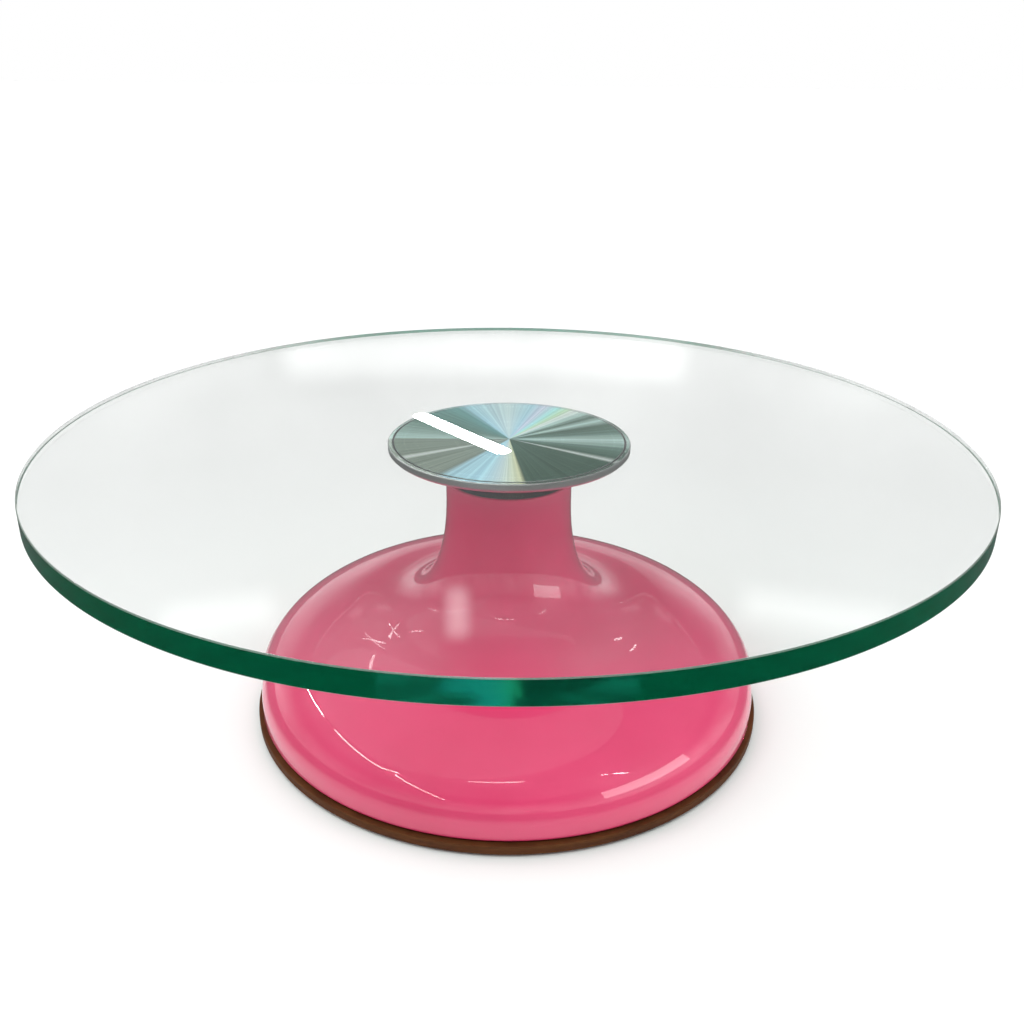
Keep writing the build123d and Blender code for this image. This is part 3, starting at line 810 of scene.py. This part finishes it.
def make_tube(name, start, end, width, material):
    """A round-ended lamp on the ceiling between two points, shining down."""
    start, end = Vector((*start, CEILING)), Vector((*end, CEILING))
    along = (end - start).normalized() * width / 2
    across = Vector((0, 0, 1)).cross(along)
    corners = []
    for centre, first in ((end, -90), (start, 90)):
        for step in range(ARC_STEPS + 1):
            angle = math.radians(first + 180 * step / ARC_STEPS)
            corners.append(centre + along * math.cos(angle) + across * math.sin(angle))
    mesh = bpy.data.meshes.new(name)
    mesh.from_pydata(corners, [], [range(len(corners))[::-1]])
    mesh.materials.append(material)
    lamp = bpy.data.objects.new(name, mesh)
    lamp.visible_camera = False
    bpy.context.scene.collection.objects.link(lamp)


def make_window(receiver):
    """An upright bright window, facing the object, that shines on one piece alone."""
    centre = Vector(WINDOW_CENTRE)
    facing = (centre - Vector((0, 0, centre.z))).normalized()
    side = Vector(WINDOW_ALONG)
    side = (side - facing * side.dot(facing)).normalized()
    light = bpy.data.lights.new("window", "AREA")
    light.shape = "RECTANGLE"
    light.size = WINDOW_LENGTH
    light.size_y = WINDOW_WIDTH
    light.energy = WINDOW_RADIANCE * math.pi * WINDOW_LENGTH * WINDOW_WIDTH
    lamp = bpy.data.objects.new("window", light)
    lamp.matrix_world = Matrix((side, facing.cross(side), facing)).transposed().to_4x4()
    lamp.location = centre
    lamp.visible_camera = False
    receivers = bpy.data.collections.new("window_receivers")
    receivers.objects.link(receiver)
    lamp.light_linking.receiver_collection = receivers
    bpy.context.scene.collection.objects.link(lamp)


def make_sun():
    """A broad soft light from above and a little to the left, with no glint of its own."""
    light = bpy.data.lights.new("soft_light", "SUN")
    light.energy = SUN_ENERGY
    light.angle = SUN_SPREAD
    lamp = bpy.data.objects.new("soft_light", light)
    lamp.rotation_euler = (*SUN_TIPS, 0)
    lamp.visible_camera = False
    lamp.visible_glossy = False
    bpy.context.scene.collection.objects.link(lamp)


def make_camera():
    """The camera at the photograph's viewing angle."""
    flat = math.cos(CAMERA_PITCH)
    forward = Vector(
        (
            math.sin(CAMERA_YAW) * flat,
            math.cos(CAMERA_YAW) * flat,
            -math.sin(CAMERA_PITCH),
        )
    )
    level = Vector((math.cos(CAMERA_YAW), -math.sin(CAMERA_YAW), 0))
    above = level.cross(forward)
    right = level * math.cos(CAMERA_ROLL) + above * math.sin(CAMERA_ROLL)
    up = above * math.cos(CAMERA_ROLL) - level * math.sin(CAMERA_ROLL)
    data = bpy.data.cameras.new("camera")
    data.sensor_width = SENSOR_WIDTH
    data.lens = FOCAL_LENGTH
    camera = bpy.data.objects.new("camera", data)
    camera.matrix_world = Matrix((right, up, -forward)).transposed().to_4x4()
    camera.location = CAMERA_PLACE
    bpy.context.scene.collection.objects.link(camera)
    bpy.context.scene.camera = camera


make_floor()
make_world()
make_sun()
GLOWS = {radiance: glow(radiance) for radiance in (TUBE_RADIANCE, LAMP_RADIANCE)}
for tube_name, (tube_start, tube_end, tube_width, tube_radiance) in TUBES.items():
    make_tube(tube_name, tube_start, tube_end, tube_width, GLOWS[tube_radiance])
make_window(shell)
make_camera()

scene = bpy.context.scene
scene.view_settings.view_transform = "Standard"
scene.cycles.max_bounces = GLASS_BOUNCES
scene.cycles.transmission_bounces = GLASS_BOUNCES
scene.cycles.glossy_bounces = GLASS_BOUNCES
scene.cycles.transparent_max_bounces = CLEAR_BOUNCES
